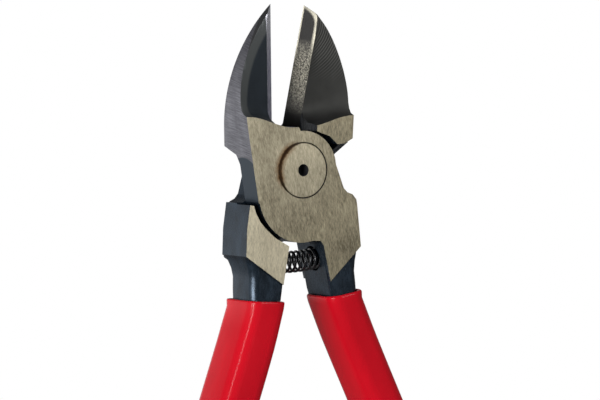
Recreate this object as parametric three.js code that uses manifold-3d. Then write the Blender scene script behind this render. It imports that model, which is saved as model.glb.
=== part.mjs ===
// Spring-opened diagonal cutting pliers with a half-lap joint, fully open.
//
// Frame, in millimetres: the origin is the centre of the pivot rivet's rear face. +Z runs up
// from the pivot to the jaw tips, +X to the right seen from the front, and +Y to the back, so
// the ground front face lies at Y = -thickness. "Depth" is the distance behind that face.
//
// Each lever is drawn closed, on its own "jaw side" axes: u points from the pivot towards the
// lever's jaw and z points up. The front lever has its jaw on the left and its handle on the
// right, the rear lever the other way round. Each is then turned about the pivot by half of
// the opening angle.

import * as THREE from "three";
import { mergeVertices } from "three/addons/utils/BufferGeometryUtils.js";
import Module from "manifold-3d";

const wasm = await Module();
wasm.setup();

// ---- Driving dimensions ------------------------------------------------------------------

const thickness = 9; // of the joint, between its two ground faces
const lapDepth = thickness / 2; // depth of the plane where the two levers meet
const lapGap = 0.1; // between the two half-lap faces
const halfOpening = 6.35; // degrees that each lever is turned from closed

const discRadius = 7; // rounded shoulder of the half-lap, about the pivot
const flank = 10.1; // flat outer side of the jaw, from the pivot's plane
const rivetHeadRadius = 4.9;
const rivetHeadDepth = 1.3;
const rivetShankRadius = 3.4;
const rivetClearance = 0.1;
const centreMarkRadius = 1.05;
const centreMarkDepth = 1.4;

const jawGap = 0.25; // from the cutting edge to the plane where the jaws would meet
const jawTop = 31; // cutters for the jaw run up past its tip
const ridge = 2.45; // where the edge bevel meets the hollow front of the jaw
const jawSlope = 0.243; // forward lean of the cutting edge, per millimetre of height
const edgeDepthAtPivot = 10; // depth that the cutting edge's line has at pivot height
const bevelSlope = 0.98; // depth lost per millimetre from the cutting edge to the ridge
const backTilt = 0.04; // the back of the jaw is slightly deeper at its outer side
const hollowShallowest = 1.4; // least depth of the hollow front of the jaw
const hollowRise = 0.408; // depth lost per millimetre from the ridge to the flank, at this height
const hollowRiseHeight = 12;
const hollowRiseFade = 0.027; // and how much less that is per millimetre further up
const hollowRiseLimit = 0.5;
const hollowDip = 1.4; // four times the extra depth halfway across the hollow
const hollowDipFade = { from: 14, to: 26 }; // heights between which the dip dies away

const forgedInset = 0.4; // the unground handle roots lie this far below the ground faces
const rootChamfer = 0.8;
const barWidth = 5.4; // steel handle bar, across and through the tool
const barDepth = 7.8;
const barCorner = 1.6;
const innerCorner = 0.5; // of the forged necks, on the side towards the other handle
const gripCorner = 2.3;
const gripGap = 0.2; // between the bar and its sleeve
const gripEndWall = 2.6;
const gripLength = 104; // along the handle, before the rim is cut level
const handleStart = 0.03; // share of the handle's line above the bar's hidden upper end

const springRadius = 1.75; // to the middle of the wire
const springWire = 0.5;
const springTurns = 11;
const springHeight = -16.6; // of the pockets, in the closed levers
const springSag = 0.0129; // the open levers bend the spring's centre line into a shallow arc
const springLift = 0.1; // of the spring's middle, as the levers open
const springHalfLength = 5.9;
const pocketRadius = 2.3;
const pocketBottom = 4.4; // from the middle plane to the bottom of each closed pocket

const arcSteps = 14;
const outerArcSteps = 24;
const barSteps = 28;
const gripSteps = 24;
const neckSegments = 28;
const pocketSegments = 24;
const roundSegments = 48;
const springStepsPerTurn = 12;
const rowCrowding = 1.6; // a relief's rows are closer together near its base when this is over 1
const beyond = 2; // how far cutters run past what they cut

const colours = { ground: 0x9a9286, forged: 0x3a414a, spring: 0x111214, sleeve: 0xc8141c };

// ---- Solids ------------------------------------------------------------------------------

// A closed geometry becomes a solid; one that is inside out is turned round first.
function solid(geometry) {
  const bare = geometry.clone();
  bare.deleteAttribute("normal");
  bare.deleteAttribute("uv");
  const merged = mergeVertices(bare, 1e-5);
  const positions = merged.attributes.position.array;
  const index = Array.from(merged.index.array);
  if (signedVolume(positions, index) < 0) index.reverse();
  const mesh = new wasm.Mesh({
    numProp: 3,
    vertProperties: new Float32Array(positions),
    triVerts: new Uint32Array(index),
  });
  return new wasm.Manifold(mesh);
}

function signedVolume(positions, index) {
  const corner = (i) => new THREE.Vector3().fromArray(positions, 3 * index[i]);
  let volume = 0;
  for (let i = 0; i < index.length; i += 3) {
    volume += corner(i).dot(corner(i + 1).cross(corner(i + 2))) / 6;
  }
  return volume;
}

function geometryOf(manifold) {
  const mesh = manifold.getMesh();
  const geometry = new THREE.BufferGeometry();
  geometry.setAttribute("position", new THREE.BufferAttribute(mesh.vertProperties, 3));
  geometry.setIndex(new THREE.BufferAttribute(mesh.triVerts, 1));
  const flat = geometry.toNonIndexed();
  flat.computeVertexNormals();
  return flat;
}

// A flat outline of [u, z] points, thick from one depth to another.
function slab(side, outline, depthFrom, depthTo) {
  const shape = new THREE.Shape(outline.map(([u, z]) => new THREE.Vector2(side * u, z)));
  const options = { depth: depthTo - depthFrom, bevelEnabled: false };
  const geometry = new THREE.ExtrudeGeometry(shape, options);
  geometry.rotateX(Math.PI / 2);
  geometry.translate(0, depthTo - thickness, 0);
  return solid(geometry);
}

// A straight ridge or groove: a [depth, z] outline, from one distance u to another.
function crossSlab(side, outline, from, to) {
  const shape = new THREE.Shape(outline.map(([depth, z]) => new THREE.Vector2(depth, z)));
  const geometry = new THREE.ExtrudeGeometry(shape, { depth: to - from, bevelEnabled: false });
  const position = geometry.attributes.position;
  for (let i = 0; i < position.count; i += 1) {
    const u = from + position.getZ(i);
    position.setXYZ(i, side * u, position.getX(i) - thickness, position.getY(i));
  }
  return solid(geometry);
}

// Points along a circular arc, in degrees counted from the u axis towards z.
function arc(centreU, centreZ, radius, from, to, steps = arcSteps) {
  return Array.from({ length: steps + 1 }, (_, i) => {
    const angle = THREE.MathUtils.degToRad(THREE.MathUtils.lerp(from, to, i / steps));
    return [centreU + radius * Math.cos(angle), centreZ + radius * Math.sin(angle)];
  });
}

function disc(radius, depthFrom, depthTo) {
  const geometry = new THREE.CylinderGeometry(
    radius, radius, depthTo - depthFrom, roundSegments);
  geometry.translate(0, (depthFrom + depthTo) / 2 - thickness, 0);
  return solid(geometry);
}

// A block with one face shaped by depthAt(u, z). It removes what lies between that surface
// and the far side of limitDepth, above the curve baseAt(u).
function reliefBlock(side, { from, to, columns, rows, baseAt, depthAt, limitDepth }) {
  const geometry = new THREE.BoxGeometry(1, 1, 1, columns, 1, rows);
  const position = geometry.attributes.position;
  for (let i = 0; i < position.count; i += 1) {
    const across = position.getX(i) + 0.5;
    const outer = position.getY(i) > 0;
    const rise = (position.getZ(i) + 0.5) ** rowCrowding;
    const u = THREE.MathUtils.lerp(from, to, across);
    const base = baseAt(u);
    const z = THREE.MathUtils.lerp(base, jawTop, rise);
    const depth = outer ? depthAt(u, z, z - base) : limitDepth;
    position.setXYZ(i, side * u, depth - thickness, z);
  }
  return solid(geometry);
}

// A bar of rounded rectangular section along a curve in the XZ plane.
function bar(path, width, depth, corner, steps) {
  const halfWidth = width / 2 - corner;
  const halfDepth = depth / 2 - corner;
  const quarter = [[1, 1], [-1, 1], [-1, -1], [1, -1]];
  const outline = quarter.flatMap(([x, y], i) => {
    return arc(x * halfDepth, y * halfWidth, corner, 90 * i, 90 * (i + 1), 3);
  });
  const section = new THREE.Shape(outline.map(([x, y]) => new THREE.Vector2(x, y)));
  const options = { steps, extrudePath: path, bevelEnabled: false };
  return solid(new THREE.ExtrudeGeometry(section, options));
}

// ---- Jaw surfaces, as depths behind the front face ----------------------------------------

const edgeDepth = (z) => edgeDepthAtPivot - jawSlope * z;

const bevelDepth = (u, z) => edgeDepth(z) - bevelSlope * (u - jawGap);

const backDepth = (u, z) => edgeDepth(z) + backTilt * u;

// The hollow front is deepest at the ridge and rises to the flank, less so towards the tip.
function hollowDepth(u, z) {
  const { clamp, smoothstep } = THREE.MathUtils;
  const { from, to } = hollowDipFade;
  const ridgeDepth = Math.max(bevelDepth(ridge, z), hollowShallowest);
  const slope = clamp(hollowRise - hollowRiseFade * (z - hollowRiseHeight), 0, hollowRiseLimit);
  const across = clamp((u - ridge) / (flank - ridge), 0, 1);
  const dip = hollowDip * across * (1 - across) * smoothstep(-z, -to, -from);
  return Math.max(ridgeDepth - slope * (u - ridge) + dip, hollowShallowest);
}

// The foot of a hollow rises to the ground face in a quarter of an ellipse.
function withFoot(depthAt, radius, groundDepth) {
  return (u, z, height) => {
    const rest = 1 - Math.min(height / radius, 1);
    return THREE.MathUtils.lerp(groundDepth, depthAt(u, z), Math.sqrt(1 - rest * rest));
  };
}

// Upper border of a ground face, from its height at the middle to its height at the flank.
function groundBorder(low, rise) {
  return (u) => low + rise * THREE.MathUtils.smoothstep(u, 0, flank + 0.3);
}

const plateBorder = groundBorder(7.8, 3.6); // above the front lever's half-lap
const shoulderBorder = groundBorder(7.7, 2.5); // on the front of the rear lever
const rearBorder = groundBorder(7.3, 2); // on the back of the rear lever

// ---- Lever ---------------------------------------------------------------------------------

// Full-thickness jaw before it is hollowed: flank, outer curve, tip, cutting edge and shoulder.
function jawBlank(side, { radius, height }) {
  const centreU = flank - radius;
  const tipAngle = THREE.MathUtils.radToDeg(Math.acos((jawGap - centreU) / radius));
  const outline = [
    [jawGap, 7.9],
    [jawGap, 4],
    [flank, 4],
    ...arc(centreU, height, radius, 0, tipAngle, outerArcSteps),
  ];
  return slab(side, outline, 0, thickness);
}

// Half-lap around the pivot, with the neck and shoulder on its handle side.
function plate(side, waist, depthFrom, depthTo) {
  const outline = [
    [flank, 9],
    [jawGap, 9],
    [jawGap, 7.75],
    [-0.33, 7.7],
    ...arc(0, 0, discRadius, 94.8, 172),
    [-6.95, -0.3],
    [-7.85, -4.7],
    [-8.5, -5.6],
    [-9.5, -6.15],
    [-10.05, -7],
    [-9.6, -14],
    [-2, -14],
    [-1.56, -13.1],
    ...arc(0.9, -3.75, 9, -95.1, -3.5),
    [waist, -3.9],
    [waist, 2.6],
    [flank, 6],
  ];
  return slab(side, outline, depthFrom, depthTo);
}

// Room that the other lever's half-lap needs on this lever's far half, closed to fully open.
function lapPocket(side, depthFrom, depthTo) {
  const outline = [
    [13, 7.8],
    [8.5, 5.1],
    [6.9, 4.9],
    [5.24, 6.24],
    [2.45, 7.05],
    [2.45, 7.6],
    [-0.6, 8.1],
    [-13, 9],
    [-13, -6.3],
    [-9.93, -6.6],
    [-9.39, -7.96],
    [-8.38, -9.47],
    [-7.18, -10.65],
    [-6, -11.55],
    [-4.9, -12.3],
    [-2.26, -13.5],
    [0, -14.5],
    [13, -14.5],
  ];
  return slab(side, outline, depthFrom, depthTo);
}

// Forged neck between the ground root and the handle bar, lofted down through stations of
// [z, outer u, inner u, outer corner radius].
function neck(side, stations) {
  const rows = stations.length - 1;
  const geometry = new THREE.CylinderGeometry(1, 1, 1, neckSegments, rows);
  const position = geometry.attributes.position;
  const halfDepth = thickness / 2 - forgedInset;
  for (let i = 0; i < position.count; i += 1) {
    const [z, outer, inner, outerCorner] = stations[Math.round((0.5 - position.getY(i)) * rows)];
    const across = position.getX(i);
    const through = position.getZ(i);
    const corner = across < 0 ? outerCorner : innerCorner;
    const u = (outer + inner) / 2 + flatShare(across) * ((inner - outer) / 2 - corner);
    const depth = thickness / 2 + flatShare(through) * (halfDepth - corner);
    position.setXYZ(i, side * (u + across * corner), depth + through * corner - thickness, z);
  }
  return solid(geometry);
}

// Which side of a rounded rectangle's middle a point of the unit circle stands for.
function flatShare(offset) {
  const middle = 1e-6;
  return Math.abs(offset) < middle ? 0 : Math.sign(offset);
}

// Ground handle root, then the forged neck that narrows it to the handle bar. The root's
// outer side is chamfered along the back.
function root(side, { inner, ground, forged, handle }) {
  const shoulder = [[-9.6, -6.3], ...ground, [-inner, -13.6], [-2.4, -12.6]];
  const [widestU, widestZ] = ground[ground.length - 2];
  const backChamfer = [
    [widestU - 0.6, -6],
    [widestU + rootChamfer, -6],
    [widestU + rootChamfer, widestZ - 1.5],
    [widestU - 0.6, widestZ - 1.5],
  ];
  return slab(side, shoulder, 0, thickness)
    .subtract(slab(side, backChamfer, thickness - rootChamfer, thickness + 1))
    .add(neck(side, forged))
    .add(handle);
}

const frontRoot = {
  inner: 1.99,
  ground: [[-10.15, -7.2], [-10.2, -8], [-9.75, -15.7], [-2.4, -20.6]],
  forged: [
    [-12.5, -9.5, -2.05, 0.7],
    [-14.9, -9.6, -2.05, 0.8],
    [-15.7, -9.55, -2.1, 1.1],
    [-16.9, -9.45, -2.1, 1.5],
    [-18.2, -9.1, -2.15, 1.8],
    [-19.9, -8.7, -2.2, 1.9],
    [-22.2, -8.6, -2.3, 1.9],
    [-23.4, -8.5, -2.5, 1.9],
  ],
};

const rearRoot = {
  inner: 2.2,
  ground: [[-10.7, -6.3], [-11.1, -10.9], [-11, -15.6], [-3, -20.4]],
  forged: [
    [-12.5, -10.7, -2.35, 0.7],
    [-14.9, -10.9, -2.4, 0.8],
    [-15.8, -10.65, -2.45, 1.1],
    [-16.7, -10.15, -2.5, 1.5],
    [-17.9, -9.6, -2.6, 1.8],
    [-19.4, -9.2, -2.7, 1.9],
    [-21.6, -9.1, -2.85, 1.9],
    [-23.3, -8.95, -3, 1.9],
  ],
};

// The handles leave the root nearly straight, spread, and run almost parallel at their ends.
const handleLine = [
  [-5.6, -15],
  [-5.4, -19],
  [-5.7, -24],
  [-6.7, -29],
  [-8.65, -36],
  [-10.4, -42],
  [-15.4, -60],
  [-19.2, -80],
  [-20.9, -100],
  [-20.4, -123],
];

function handlePath(side, spread) {
  const points = handleLine.map(([u, z]) => {
    return new THREE.Vector3(side * (u - spread), -thickness / 2, z);
  });
  return new THREE.CatmullRomCurve3(points);
}

// The stretch of a handle's line between two fractions of its length.
class Stretch extends THREE.Curve {
  constructor(whole, from, to) {
    super();
    this.whole = whole;
    this.from = from;
    this.to = to;
  }

  getPoint(t, target) {
    return this.whole.getPointAt(THREE.MathUtils.lerp(this.from, this.to, t), target);
  }
}

function handleStretch({ side, spread }, endGap, startFromEnd) {
  const path = handlePath(side, spread);
  const length = path.getLength();
  const from = startFromEnd ? 1 - startFromEnd / length : handleStart;
  return new Stretch(path, from, 1 - endGap / length);
}

// The front lever owns the front half of the lap, and the rear lever the rear half.
function lever(design) {
  const { side, waist, outerArc, rootOutline, gusset, ownsFront } = design;
  const own = ownsFront ? [0, lapDepth - lapGap / 2] : [lapDepth + lapGap / 2, thickness];
  const far = ownsFront
    ? [lapDepth - lapGap / 2, thickness + beyond]
    : [-beyond, lapDepth + lapGap / 2];
  const handleCurve = handleStretch(design, gripEndWall, 0);
  const handle = bar(handleCurve, barWidth, barDepth, barCorner, barSteps);
  const body = jawBlank(side, outerArc)
    .add(root(side, { ...rootOutline, handle }))
    .subtract(lapPocket(side, ...far))
    .add(plate(side, waist, ...own))
    .add(crossSlab(side, gusset, 7.9, waist));
  return shapeJaw(design, body).subtract(boresFor(side, ownsFront));
}

// Hollow the front of the jaw, bevel its cutting edge and cut its back to the leaning plane.
function shapeJaw({ side, frontBorder, edgeBorder, backBorder }, body) {
  const overlap = 0.02;
  const front = {
    from: ridge, to: flank + 1, columns: 9, rows: 12, limitDepth: -beyond,
    baseAt: frontBorder, depthAt: withFoot(hollowDepth, 2.6, 0),
  };
  const edge = {
    from: -1, to: ridge + overlap, columns: 4, rows: 10, limitDepth: -beyond,
    baseAt: edgeBorder, depthAt: bevelDepth,
  };
  const tip = { ...edge, depthAt: hollowDepth };
  const back = {
    from: -1, to: flank + 1, columns: 6, rows: 8, limitDepth: thickness + beyond,
    baseAt: backBorder, depthAt: withFoot(backDepth, 0.8, thickness),
  };
  return [front, edge, tip, back].reduce((rest, relief) => {
    return rest.subtract(reliefBlock(side, relief));
  }, body);
}

// The rivet's bore with its head's counterbore, and the spring's pocket in the inner wall.
function boresFor(side, ownsFront) {
  const headDepth = rivetHeadDepth + rivetClearance;
  const seat = ownsFront
    ? [-beyond, headDepth]
    : [thickness - headDepth, thickness + beyond];
  const bore = disc(rivetShankRadius + rivetClearance, -beyond, thickness + beyond);
  const pocket = new THREE.CylinderGeometry(
    pocketRadius, pocketRadius, pocketBottom, pocketSegments);
  pocket.rotateZ(Math.PI / 2);
  pocket.translate((-side * pocketBottom) / 2, -thickness / 2, springHeight);
  return bore.add(disc(rivetHeadRadius + rivetClearance, ...seat)).add(solid(pocket));
}

// ---- Rivet, spring and sleeves ---------------------------------------------------------------

function rivet() {
  const markFloor = thickness - centreMarkDepth;
  const profile = [
    [0, 0],
    [rivetHeadRadius, 0],
    [rivetHeadRadius, rivetHeadDepth],
    [rivetShankRadius, rivetHeadDepth],
    [rivetShankRadius, thickness - rivetHeadDepth],
    [rivetHeadRadius, thickness - rivetHeadDepth],
    [rivetHeadRadius, thickness],
    [centreMarkRadius, thickness],
    [centreMarkRadius, markFloor],
    [0, markFloor - centreMarkRadius / 2],
  ].map(([radius, forward]) => new THREE.Vector2(radius, -forward));
  return solid(new THREE.LatheGeometry(profile, roundSegments));
}

// Middle of the spring's wire, coiled round the shallow arc between the two open pockets.
class SpringLine extends THREE.Curve {
  getPoint(t, target = new THREE.Vector3()) {
    const x = THREE.MathUtils.lerp(-springHalfLength, springHalfLength, t);
    const angle = 2 * Math.PI * springTurns * t;
    const middle = springHeight + springLift + springSag * x * x;
    const out = springRadius * Math.cos(angle);
    const lean = 2 * springSag * x;
    return target.set(
      x - lean * out,
      -thickness / 2 + springRadius * Math.sin(angle),
      middle + out,
    );
  }
}

function spring() {
  const outline = arc(0, 0, springWire / 2, 0, 300, 5);
  const section = new THREE.Shape(outline.map(([x, y]) => new THREE.Vector2(x, y)));
  const options = { steps: springTurns * springStepsPerTurn, extrudePath: new SpringLine() };
  return solid(new THREE.ExtrudeGeometry(section, { ...options, bevelEnabled: false }));
}

// A dipped sleeve: open at its level rim, closed over the end of the handle bar.
function grip(design) {
  const { width, depth, rimHeight } = design.sleeve;
  const outerPath = handleStretch(design, 0, gripLength);
  const borePath = handleStretch(design, gripEndWall - gripGap, gripLength + 1);
  const bore = [barWidth + 2 * gripGap, barDepth + 2 * gripGap, barCorner + gripGap];
  const aboveRim = [[-12, rimHeight], [0, rimHeight], [0, -15], [-12, -15]];
  return bar(outerPath, width, depth, gripCorner, gripSteps)
    .subtract(bar(borePath, ...bore, gripSteps))
    .subtract(slab(design.side, aboveRim, -beyond, thickness + beyond));
}

// ---- Assembly --------------------------------------------------------------------------------

function finish(color, roughness, metalness) {
  return new THREE.MeshStandardMaterial({ color, roughness, metalness });
}

function piece(name, manifold, material) {
  const mesh = new THREE.Mesh(geometryOf(manifold), material);
  mesh.name = name;
  return mesh;
}

const forged = finish(colours.forged, 0.45, 0.9);
const sleeve = finish(colours.sleeve, 0.25, 0);

const leftJaw = {
  side: -1,
  ownsFront: true,
  waist: flank,
  outerArc: { radius: 26, height: 9.55 }, // the height is where the flat flank turns into it
  spread: -0.15, // outward shift of the handle
  rootOutline: frontRoot,
  sleeve: { width: 7.1, depth: 9.9, rimHeight: -23.6 },
  gusset: [[lapDepth - 0.2, 2.5], [5.3, 4.5], [thickness, 6], [thickness, 7.5], [4, 7.5]],
  frontBorder: plateBorder,
  edgeBorder: plateBorder,
  backBorder: () => 4.4,
};

const rightJaw = {
  side: 1,
  ownsFront: false,
  waist: 9.2,
  outerArc: { radius: 23, height: 10.4 },
  spread: 0.2,
  rootOutline: rearRoot,
  sleeve: { width: 7.7, depth: 10.5, rimHeight: -23.5 },
  gusset: [[0.2, 5.3], [lapDepth + 0.2, 2.9], [lapDepth + 0.2, 5.6], [0.2, 5.6]],
  frontBorder: shoulderBorder,
  edgeBorder: () => 6.5,
  backBorder: rearBorder,
};

const frontGroup = new THREE.Group();
frontGroup.add(piece("front_lever", lever(leftJaw), forged));
frontGroup.add(piece("front_grip", grip(leftJaw), sleeve));
frontGroup.add(piece("pivot_rivet", rivet(), finish(colours.ground, 0.4, 1)));
frontGroup.rotation.y = THREE.MathUtils.degToRad(-halfOpening);

const rearGroup = new THREE.Group();
rearGroup.add(piece("rear_lever", lever(rightJaw), forged.clone()));
rearGroup.add(piece("rear_grip", grip(rightJaw), sleeve.clone()));
rearGroup.rotation.y = THREE.MathUtils.degToRad(halfOpening);

const group = new THREE.Group();
group.add(frontGroup);
group.add(rearGroup);
group.add(piece("return_spring", spring(), finish(colours.spring, 0.3, 0.8)));

export default group;
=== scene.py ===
"""Looks of spring-opened diagonal cutting pliers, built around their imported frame.

The frame is in metres, with the origin at the centre of the rivet's rear face, +Z up to the jaw
tips, +X to the right seen from the front and +Y to the back. Shapes and patterns are worked out
in millimetres. Each lever also has axes of its own, as it stands with the tool closed: "out" runs
from the pivot towards the lever's jaw, "depth" back from the ground front face, and "up" towards
the jaw tips.
"""

import logging
import math
from dataclasses import dataclass, field
from enum import Enum

import bmesh
import bpy
from bmesh.types import BMesh, BMVert
from bpy.types import Material, Node, Object
from mathutils import Matrix, Vector


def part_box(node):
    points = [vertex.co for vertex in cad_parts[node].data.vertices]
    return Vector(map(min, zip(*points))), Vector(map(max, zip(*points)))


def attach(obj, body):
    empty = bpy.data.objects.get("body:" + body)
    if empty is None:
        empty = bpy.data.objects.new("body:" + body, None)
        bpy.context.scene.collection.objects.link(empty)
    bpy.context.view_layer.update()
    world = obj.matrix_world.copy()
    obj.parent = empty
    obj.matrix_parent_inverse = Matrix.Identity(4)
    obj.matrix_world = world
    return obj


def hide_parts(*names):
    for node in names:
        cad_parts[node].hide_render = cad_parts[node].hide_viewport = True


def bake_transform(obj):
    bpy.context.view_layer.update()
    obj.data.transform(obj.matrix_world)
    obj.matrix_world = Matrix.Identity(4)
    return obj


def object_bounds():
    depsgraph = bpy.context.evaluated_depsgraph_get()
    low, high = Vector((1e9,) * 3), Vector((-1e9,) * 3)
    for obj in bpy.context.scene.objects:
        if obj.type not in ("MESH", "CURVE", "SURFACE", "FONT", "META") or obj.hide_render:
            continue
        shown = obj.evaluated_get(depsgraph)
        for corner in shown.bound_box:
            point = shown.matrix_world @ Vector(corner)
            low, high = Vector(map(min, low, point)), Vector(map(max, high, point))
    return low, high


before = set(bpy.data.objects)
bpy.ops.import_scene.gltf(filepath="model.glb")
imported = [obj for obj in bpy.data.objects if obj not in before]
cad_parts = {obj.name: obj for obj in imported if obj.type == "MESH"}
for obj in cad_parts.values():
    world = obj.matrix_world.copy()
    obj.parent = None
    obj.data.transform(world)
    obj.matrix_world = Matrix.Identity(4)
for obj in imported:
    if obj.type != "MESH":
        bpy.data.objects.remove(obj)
CAD_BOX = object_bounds()

LOG = logging.getLogger("pliers")
MM = 0.001
THICKNESS = 9.0  # millimetres, between the joint's two ground faces
HALF_OPENING = math.radians(6.35)  # turn of each lever from closed to fully open
RIVET_RADIUS = 4.9  # of the seam round the rivet's head
MERGE = 0.002 * MM  # points of a mesh nearer than this are one
COAT_ROUGHNESS = 0.12

Triple = tuple[float, float, float]
Colour = Triple


# ---- Shader nodes ----


class Signal:
    """One output socket. Python operators on it add the Math nodes that work them out."""

    def __init__(self, tree: bpy.types.NodeTree, socket: bpy.types.NodeSocket) -> None:
        """Keep the socket and the tree that it belongs to."""
        self.tree = tree
        self.socket = socket

    def math(self, operation: str, *terms: "Signal | float", clamp: bool = False) -> "Signal":
        """Add one Math node.

        Args:
            operation: The Math node's operation.
            terms: The values or signals on the node's sockets, in order.
            clamp: Whether the result is kept between 0 and 1.

        Returns:
            The node's result.
        """
        node = self.tree.nodes.new("ShaderNodeMath")
        node.operation = operation
        node.use_clamp = clamp
        for socket, term in zip(node.inputs, terms):
            if isinstance(term, Signal):
                self.tree.links.new(term.socket, socket)
            else:
                socket.default_value = term
        return Signal(self.tree, node.outputs[0])

    def __add__(self, other: "Signal | float") -> "Signal":
        """Return the sum."""
        return self.math("ADD", self, other)

    def __radd__(self, other: float) -> "Signal":
        """Return the sum, with a number on the left."""
        return self.math("ADD", other, self)

    def __sub__(self, other: "Signal | float") -> "Signal":
        """Return the difference."""
        return self.math("SUBTRACT", self, other)

    def __rsub__(self, other: float) -> "Signal":
        """Return a number less this signal."""
        return self.math("SUBTRACT", other, self)

    def __mul__(self, other: "Signal | float") -> "Signal":
        """Return the product."""
        return self.math("MULTIPLY", self, other)

    def __rmul__(self, other: float) -> "Signal":
        """Return the product, with a number on the left."""
        return self.math("MULTIPLY", other, self)

    def hypot(self, other: "Signal") -> "Signal":
        """Return the root of the sum of this signal's square and another's."""
        return self.math("SQRT", self * self + other * other)

    def size(self) -> "Signal":
        """Return the value without its sign."""
        return self.math("ABSOLUTE", self)

    def sine(self) -> "Signal":
        """Return the sine of an angle in radians."""
        return self.math("SINE", self)

    def larger(self, other: "Signal | float") -> "Signal":
        """Return the larger of this signal and another."""
        return self.math("MAXIMUM", self, other)

    def over(self, level: "Signal | float", soft: float) -> "Signal":
        """Fade from 0 to 1 as the signal passes a level.

        Args:
            level: Where the fade is half done.
            soft: Full width of the fade.

        Returns:
            The mask.
        """
        return self.math("ADD", (self - level) * (1 / soft), 0.5, clamp=True)

    def under(self, level: "Signal | float", soft: float) -> "Signal":
        """Fade from 1 to 0 as the signal passes a level, over a width."""
        return 1 - self.over(level, soft)


class Nodes:
    """A node tree that is filled from the start."""

    def __init__(self, owner: Material | bpy.types.World) -> None:
        """Empty the owner's node tree."""
        owner.use_nodes = True
        self.tree = owner.node_tree
        self.tree.nodes.clear()

    def node(self, kind: str, settings: dict | None = None, inputs: dict | None = None) -> Node:
        """Add one node.

        Args:
            kind: The node's type.
            settings: Its properties, set first. "stops" holds a ramp's (position, grey level) pairs.
            inputs: Values or signals for its sockets, by name or number.

        Returns:
            The new node.
        """
        node = self.tree.nodes.new(kind)
        for name, value in (settings or {}).items():
            if name == "stops":
                self._set_stops(node.color_ramp.elements, value)
            else:
                setattr(node, name, value)
        for name, value in (inputs or {}).items():
            if isinstance(value, Signal):
                self.tree.links.new(value.socket, node.inputs[name])
            else:
                node.inputs[name].default_value = value
        return node

    @staticmethod
    def _set_stops(elements: bpy.types.ColorRampElements, stops: tuple) -> None:
        """Give a colour ramp its stops.

        Args:
            elements: The ramp's elements.
            stops: Pairs of position and grey level.
        """
        while len(elements) < len(stops):
            elements.new(0.5)
        for element, (position, level) in zip(elements, stops):
            element.position = position
            element.color = (level, level, level, 1.0)

    def out(self, node: Node, name: str | int = 0) -> Signal:
        """Return one output of a node."""
        return Signal(self.tree, node.outputs[name])


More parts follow.
